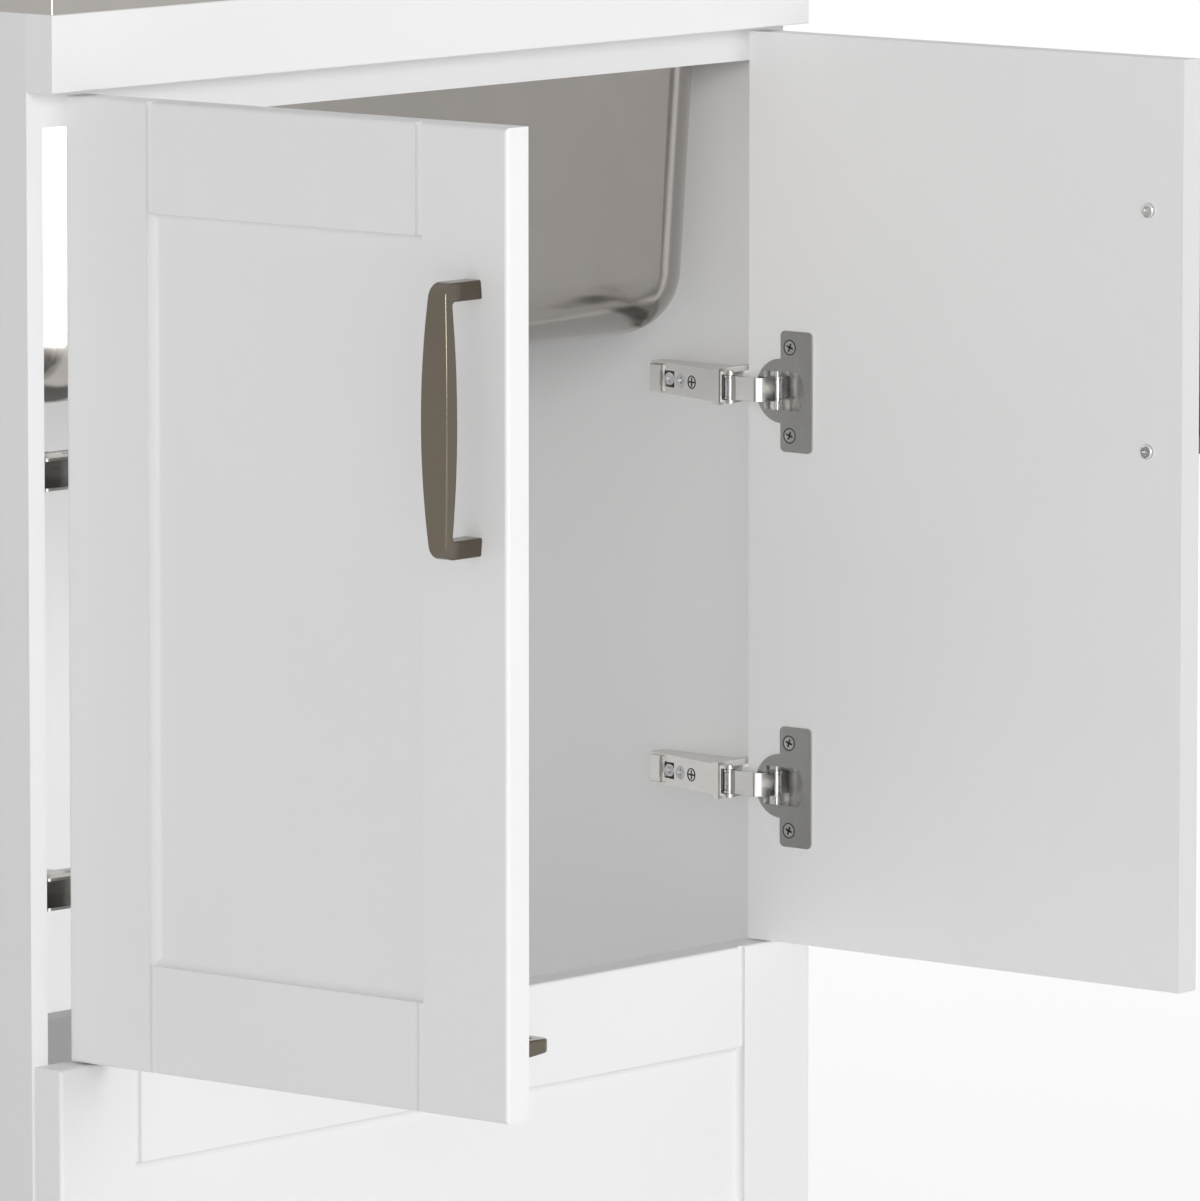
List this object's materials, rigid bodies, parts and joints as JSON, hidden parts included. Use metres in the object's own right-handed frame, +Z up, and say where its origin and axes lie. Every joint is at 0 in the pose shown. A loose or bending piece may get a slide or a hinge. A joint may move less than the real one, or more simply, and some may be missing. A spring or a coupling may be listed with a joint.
{
  "type": "laundry sink cabinet",
  "caption": "Free-standing cabinet with a deep inset steel bowl, framed doors on concealed hinges and a drawer on telescopic runners",
  "frame": {"origin": "on the floor, under the middle of the cabinet as it stands with both doors open at right angles", "axes": "+Z up, -Y towards the front of the cabinet, +X to the right seen from the front"},
  "size_m": [0.6168, 0.786, 0.8664],
  "materials": {
    "white_board": "white melamine",
    "white_front": "white matt foil",
    "grey_board": "grey melamine",
    "beech": "plain",
    "black_plastic": "fine texture",
    "sink_steel": "satin",
    "plated_steel": "bright zinc",
    "hinge_nickel": "bright nickel",
    "handle_nickel": "dark brushed nickel"
  },
  "bodies": {
    "carcass": {"left_side_panel": "white_board", "right_side_panel": "white_board", "bottom_panel": "white_board", "back_panel": "white_board", "front_rail": "white_board", "rear_rail": "white_board", "apron": "white_front", "carcass_dowels": "beech", "plinth": "white_board", "plinth_clips": "black_plastic", "front_left_foot": "black_plastic", "front_right_foot": "black_plastic", "rear_left_foot": "black_plastic", "rear_right_foot": "black_plastic", "sink_deck": "sink_steel", "sink_bowl": "sink_steel", "sink_clips": "plated_steel", "left_upper_arm": "hinge_nickel", "left_lower_arm": "hinge_nickel", "right_upper_arm": "hinge_nickel", "right_lower_arm": "hinge_nickel", "arm_pins": "plated_steel", "hinge_plates": "plated_steel", "hinge_plate_screws": "plated_steel", "hinge_adjusters": "plated_steel", "left_cabinet_runner": "plated_steel", "right_cabinet_runner": "plated_steel", "cabinet_runner_screws": "plated_steel"},
    "left_links": {"left_upper_link": "hinge_nickel", "left_lower_link": "hinge_nickel", "left_inner_links": "hinge_nickel"},
    "left_door": {"left_door": "white_front", "left_upper_cup": "hinge_nickel", "left_lower_cup": "hinge_nickel", "left_cup_screws": "plated_steel", "left_cup_pins": "plated_steel", "left_door_handle": "handle_nickel", "left_handle_screws": "plated_steel"},
    "right_links": {"right_upper_link": "hinge_nickel", "right_lower_link": "hinge_nickel", "right_inner_links": "hinge_nickel"},
    "right_door": {"right_door": "white_front", "right_upper_cup": "hinge_nickel", "right_lower_cup": "hinge_nickel", "right_cup_screws": "plated_steel", "right_cup_pins": "plated_steel", "right_door_handle": "handle_nickel", "right_handle_screws": "plated_steel"},
    "middle_runners": {"middle_runners": "plated_steel"},
    "drawer": {"drawer_front": "white_front", "drawer_left_side": "grey_board", "drawer_right_side": "grey_board", "drawer_back": "grey_board", "drawer_bottom": "grey_board", "drawer_dowels": "beech", "left_drawer_runner": "plated_steel", "right_drawer_runner": "plated_steel", "drawer_runner_screws": "plated_steel", "drawer_handle": "handle_nickel", "drawer_handle_screws": "plated_steel"}
  },
  "joints": [
    {"name": "left_link_turn", "type": "hinge", "parent": "carcass", "child": "left_links", "pos_m": [-0.25887, -0.086, 0.492], "axis": [0, 0, 1], "range_deg": [-43.9, 2.46]},
    {"name": "left_door_swing", "type": "hinge", "parent": "left_links", "child": "left_door", "pos_m": [-0.269, -0.111, 0.492], "axis": [0, 0, 1], "range_deg": [-7.44, 133.88]},
    {"name": "right_link_turn", "type": "hinge", "parent": "carcass", "child": "right_links", "pos_m": [0.25887, -0.086, 0.492], "axis": [0, 0, -1], "range_deg": [-43.9, 2.46]},
    {"name": "right_door_swing", "type": "hinge", "parent": "right_links", "child": "right_door", "pos_m": [0.269, -0.111, 0.492], "axis": [0, 0, -1], "range_deg": [-7.44, 133.88]},
    {"name": "drawer_slide", "type": "slide", "parent": "carcass", "child": "drawer", "axis": [0, -1, 0], "range_m": [0, 0.4]},
    {"name": "runner_slide", "type": "slide", "parent": "carcass", "child": "middle_runners", "axis": [0, -1, 0], "range_m": [0, 0.2]}
  ],
  "couplings": [
    {"joint": "left_link_turn", "follows": "left_door_swing", "ratio": -0.32774},
    {"joint": "right_link_turn", "follows": "right_door_swing", "ratio": -0.32774},
    {"joint": "runner_slide", "follows": "drawer_slide", "ratio": 0.5}
  ]
}
